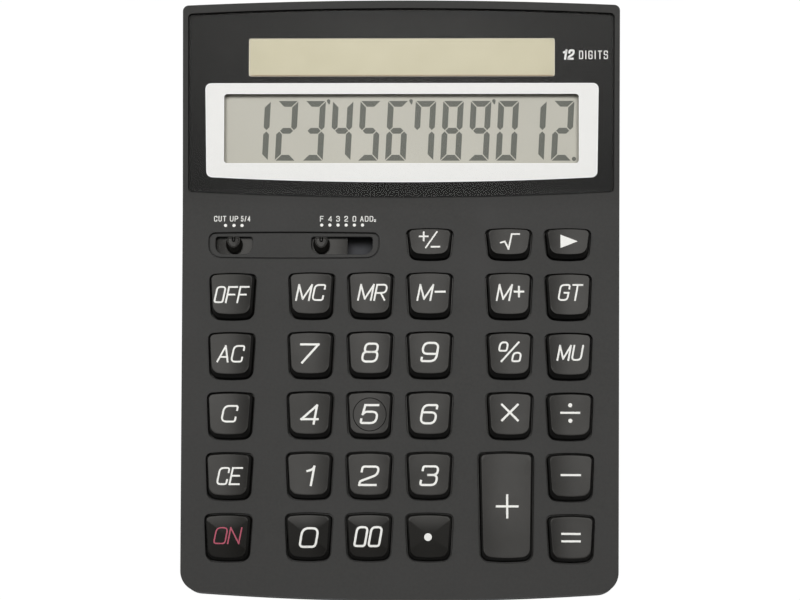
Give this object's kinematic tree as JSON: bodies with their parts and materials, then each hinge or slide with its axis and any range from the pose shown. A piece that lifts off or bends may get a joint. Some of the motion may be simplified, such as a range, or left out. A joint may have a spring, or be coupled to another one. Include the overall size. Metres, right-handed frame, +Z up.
{
  "type": "solar calculator",
  "caption": "Wedge-shaped black desktop solar calculator with a raised display hood, tall display digits, a solar cell strip, sloping rubber-dome keys and slide switches.",
  "frame": {"origin": "on the table, under the middle of the case's length and width", "axes": "+Y from the user to the display, +X to the user's right, +Z up"},
  "size_m": [0.1532, 0.2056, 0.0376],
  "materials": {
    "case_plastic": "fine matt texture, black",
    "key_plastic": "satin black",
    "window_acrylic": "clear, polished, printed black and white behind",
    "lcd_glass": "grey reflective liquid crystal display",
    "solar_glass": "pale amorphous silicon cell behind a diffusing film",
    "striped_rubber": "matt",
    "mat_rubber": "matt grey silicone",
    "foot_rubber": "matt black",
    "board_laminate": "brown phenolic paper laminate",
    "epoxy": "black epoxy",
    "cable_film": "pale flexible film",
    "plated_steel": "nickel plated"
  },
  "bodies": {
    "case": {"upper_case": "case_plastic", "lower_case": "case_plastic", "display_window": "window_acrylic", "lcd_glass": "lcd_glass", "solar_cell": "solar_glass", "lcd_connector": "striped_rubber", "display_board": "board_laminate", "main_board": "board_laminate", "chip_blob": "epoxy", "board_ribbon": "cable_film", "key_mat": "mat_rubber", "battery_cell": "plated_steel", "battery_side_contact": "plated_steel", "battery_top_contact": "plated_steel", "battery_cover": "case_plastic", "case_screw_front_left": "plated_steel", "case_screw_front_right": "plated_steel", "case_screw_rear_left": "plated_steel", "case_screw_rear_right": "plated_steel", "foot_front_left": "foot_rubber", "foot_front_right": "foot_rubber", "foot_rear_left": "foot_rubber", "foot_rear_right": "foot_rubber"},
    "key_sign": {"key_sign": "key_plastic"},
    "key_root": {"key_root": "key_plastic"},
    "key_back": {"key_back": "key_plastic"},
    "key_off": {"key_off": "key_plastic"},
    "key_mc": {"key_mc": "key_plastic"},
    "key_mr": {"key_mr": "key_plastic"},
    "key_m_minus": {"key_m_minus": "key_plastic"},
    "key_m_plus": {"key_m_plus": "key_plastic"},
    "key_gt": {"key_gt": "key_plastic"},
    "key_ac": {"key_ac": "key_plastic"},
    "key_7": {"key_7": "key_plastic"},
    "key_8": {"key_8": "key_plastic"},
    "key_9": {"key_9": "key_plastic"},
    "key_percent": {"key_percent": "key_plastic"},
    "key_mu": {"key_mu": "key_plastic"},
    "key_c": {"key_c": "key_plastic"},
    "key_4": {"key_4": "key_plastic"},
    "key_5": {"key_5": "key_plastic"},
    "key_6": {"key_6": "key_plastic"},
    "key_times": {"key_times": "key_plastic"},
    "key_divide": {"key_divide": "key_plastic"},
    "key_ce": {"key_ce": "key_plastic"},
    "key_1": {"key_1": "key_plastic"},
    "key_2": {"key_2": "key_plastic"},
    "key_3": {"key_3": "key_plastic"},
    "key_minus": {"key_minus": "key_plastic"},
    "key_on": {"key_on": "key_plastic"},
    "key_0": {"key_0": "key_plastic"},
    "key_00": {"key_00": "key_plastic"},
    "key_point": {"key_point": "key_plastic"},
    "key_equals": {"key_equals": "key_plastic"},
    "key_plus": {"key_plus": "key_plastic"},
    "rounding_switch": {"rounding_knob": "key_plastic", "rounding_wiper": "plated_steel"},
    "decimal_switch": {"decimal_knob": "key_plastic", "decimal_wiper": "plated_steel"}
  },
  "joints": [
    {"name": "key_sign_press", "type": "slide", "parent": "case", "child": "key_sign", "axis": [0, -0.0785, 0.9969], "range_m": [-0.0025, 0], "stiffness_N_per_m": 250, "springref_m": 0.0005, "deforming": ["key_mat"]},
    {"name": "key_root_press", "type": "slide", "parent": "case", "child": "key_root", "axis": [0, -0.0785, 0.9969], "range_m": [-0.0025, 0], "stiffness_N_per_m": 250, "springref_m": 0.0005, "deforming": ["key_mat"]},
    {"name": "key_back_press", "type": "slide", "parent": "case", "child": "key_back", "axis": [0, -0.0785, 0.9969], "range_m": [-0.0025, 0], "stiffness_N_per_m": 250, "springref_m": 0.0005, "deforming": ["key_mat"]},
    {"name": "key_off_press", "type": "slide", "parent": "case", "child": "key_off", "axis": [0, -0.0785, 0.9969], "range_m": [-0.0025, 0], "stiffness_N_per_m": 250, "springref_m": 0.0005, "deforming": ["key_mat"]},
    {"name": "key_mc_press", "type": "slide", "parent": "case", "child": "key_mc", "axis": [0, -0.0785, 0.9969], "range_m": [-0.0025, 0], "stiffness_N_per_m": 250, "springref_m": 0.0005, "deforming": ["key_mat"]},
    {"name": "key_mr_press", "type": "slide", "parent": "case", "child": "key_mr", "axis": [0, -0.0785, 0.9969], "range_m": [-0.0025, 0], "stiffness_N_per_m": 250, "springref_m": 0.0005, "deforming": ["key_mat"]},
    {"name": "key_m_minus_press", "type": "slide", "parent": "case", "child": "key_m_minus", "axis": [0, -0.0785, 0.9969], "range_m": [-0.0025, 0], "stiffness_N_per_m": 250, "springref_m": 0.0005, "deforming": ["key_mat"]},
    {"name": "key_m_plus_press", "type": "slide", "parent": "case", "child": "key_m_plus", "axis": [0, -0.0785, 0.9969], "range_m": [-0.0025, 0], "stiffness_N_per_m": 250, "springref_m": 0.0005, "deforming": ["key_mat"]},
    {"name": "key_gt_press", "type": "slide", "parent": "case", "child": "key_gt", "axis": [0, -0.0785, 0.9969], "range_m": [-0.0025, 0], "stiffness_N_per_m": 250, "springref_m": 0.0005, "deforming": ["key_mat"]},
    {"name": "key_ac_press", "type": "slide", "parent": "case", "child": "key_ac", "axis": [0, -0.0785, 0.9969], "range_m": [-0.0025, 0], "stiffness_N_per_m": 250, "springref_m": 0.0005, "deforming": ["key_mat"]},
    {"name": "key_7_press", "type": "slide", "parent": "case", "child": "key_7", "axis": [0, -0.0785, 0.9969], "range_m": [-0.0025, 0], "stiffness_N_per_m": 250, "springref_m": 0.0005, "deforming": ["key_mat"]},
    {"name": "key_8_press", "type": "slide", "parent": "case", "child": "key_8", "axis": [0, -0.0785, 0.9969], "range_m": [-0.0025, 0], "stiffness_N_per_m": 250, "springref_m": 0.0005, "deforming": ["key_mat"]},
    {"name": "key_9_press", "type": "slide", "parent": "case", "child": "key_9", "axis": [0, -0.0785, 0.9969], "range_m": [-0.0025, 0], "stiffness_N_per_m": 250, "springref_m": 0.0005, "deforming": ["key_mat"]},
    {"name": "key_percent_press", "type": "slide", "parent": "case", "child": "key_percent", "axis": [0, -0.0785, 0.9969], "range_m": [-0.0025, 0], "stiffness_N_per_m": 250, "springref_m": 0.0005, "deforming": ["key_mat"]},
    {"name": "key_mu_press", "type": "slide", "parent": "case", "child": "key_mu", "axis": [0, -0.0785, 0.9969], "range_m": [-0.0025, 0], "stiffness_N_per_m": 250, "springref_m": 0.0005, "deforming": ["key_mat"]},
    {"name": "key_c_press", "type": "slide", "parent": "case", "child": "key_c", "axis": [0, -0.0785, 0.9969], "range_m": [-0.0025, 0], "stiffness_N_per_m": 250, "springref_m": 0.0005, "deforming": ["key_mat"]},
    {"name": "key_4_press", "type": "slide", "parent": "case", "child": "key_4", "axis": [0, -0.0785, 0.9969], "range_m": [-0.0025, 0], "stiffness_N_per_m": 250, "springref_m": 0.0005, "deforming": ["key_mat"]},
    {"name": "key_5_press", "type": "slide", "parent": "case", "child": "key_5", "axis": [0, -0.0785, 0.9969], "range_m": [-0.0025, 0], "stiffness_N_per_m": 250, "springref_m": 0.0005, "deforming": ["key_mat"]},
    {"name": "key_6_press", "type": "slide", "parent": "case", "child": "key_6", "axis": [0, -0.0785, 0.9969], "range_m": [-0.0025, 0], "stiffness_N_per_m": 250, "springref_m": 0.0005, "deforming": ["key_mat"]},
    {"name": "key_times_press", "type": "slide", "parent": "case", "child": "key_times", "axis": [0, -0.0785, 0.9969], "range_m": [-0.0025, 0], "stiffness_N_per_m": 250, "springref_m": 0.0005, "deforming": ["key_mat"]},
    {"name": "key_divide_press", "type": "slide", "parent": "case", "child": "key_divide", "axis": [0, -0.0785, 0.9969], "range_m": [-0.0025, 0], "stiffness_N_per_m": 250, "springref_m": 0.0005, "deforming": ["key_mat"]},
    {"name": "key_ce_press", "type": "slide", "parent": "case", "child": "key_ce", "axis": [0, -0.0785, 0.9969], "range_m": [-0.0025, 0], "stiffness_N_per_m": 250, "springref_m": 0.0005, "deforming": ["key_mat"]},
    {"name": "key_1_press", "type": "slide", "parent": "case", "child": "key_1", "axis": [0, -0.0785, 0.9969], "range_m": [-0.0025, 0], "stiffness_N_per_m": 250, "springref_m": 0.0005, "deforming": ["key_mat"]},
    {"name": "key_2_press", "type": "slide", "parent": "case", "child": "key_2", "axis": [0, -0.0785, 0.9969], "range_m": [-0.0025, 0], "stiffness_N_per_m": 250, "springref_m": 0.0005, "deforming": ["key_mat"]},
    {"name": "key_3_press", "type": "slide", "parent": "case", "child": "key_3", "axis": [0, -0.0785, 0.9969], "range_m": [-0.0025, 0], "stiffness_N_per_m": 250, "springref_m": 0.0005, "deforming": ["key_mat"]},
    {"name": "key_minus_press", "type": "slide", "parent": "case", "child": "key_minus", "axis": [0, -0.0785, 0.9969], "range_m": [-0.0025, 0], "stiffness_N_per_m": 250, "springref_m": 0.0005, "deforming": ["key_mat"]},
    {"name": "key_on_press", "type": "slide", "parent": "case", "child": "key_on", "axis": [0, -0.0785, 0.9969], "range_m": [-0.0025, 0], "stiffness_N_per_m": 250, "springref_m": 0.0005, "deforming": ["key_mat"]},
    {"name": "key_0_press", "type": "slide", "parent": "case", "child": "key_0", "axis": [0, -0.0785, 0.9969], "range_m": [-0.0025, 0], "stiffness_N_per_m": 250, "springref_m": 0.0005, "deforming": ["key_mat"]},
    {"name": "key_00_press", "type": "slide", "parent": "case", "child": "key_00", "axis": [0, -0.0785, 0.9969], "range_m": [-0.0025, 0], "stiffness_N_per_m": 250, "springref_m": 0.0005, "deforming": ["key_mat"]},
    {"name": "key_point_press", "type": "slide", "parent": "case", "child": "key_point", "axis": [0, -0.0785, 0.9969], "range_m": [-0.0025, 0], "stiffness_N_per_m": 250, "springref_m": 0.0005, "deforming": ["key_mat"]},
    {"name": "key_equals_press", "type": "slide", "parent": "case", "child": "key_equals", "axis": [0, -0.0785, 0.9969], "range_m": [-0.0025, 0], "stiffness_N_per_m": 250, "springref_m": 0.0005, "deforming": ["key_mat"]},
    {"name": "key_plus_press", "type": "slide", "parent": "case", "child": "key_plus", "axis": [0, -0.0785, 0.9969], "range_m": [-0.0025, 0], "stiffness_N_per_m": 250, "springref_m": 0.0005, "deforming": ["key_mat"]},
    {"name": "rounding_switch_slide", "type": "slide", "parent": "case", "child": "rounding_switch", "axis": [1, 0, 0], "range_m": [-0.0029, 0.0029]},
    {"name": "decimal_switch_slide", "type": "slide", "parent": "case", "child": "decimal_switch", "axis": [1, 0, 0], "range_m": [0, 0.01425]}
  ]
}
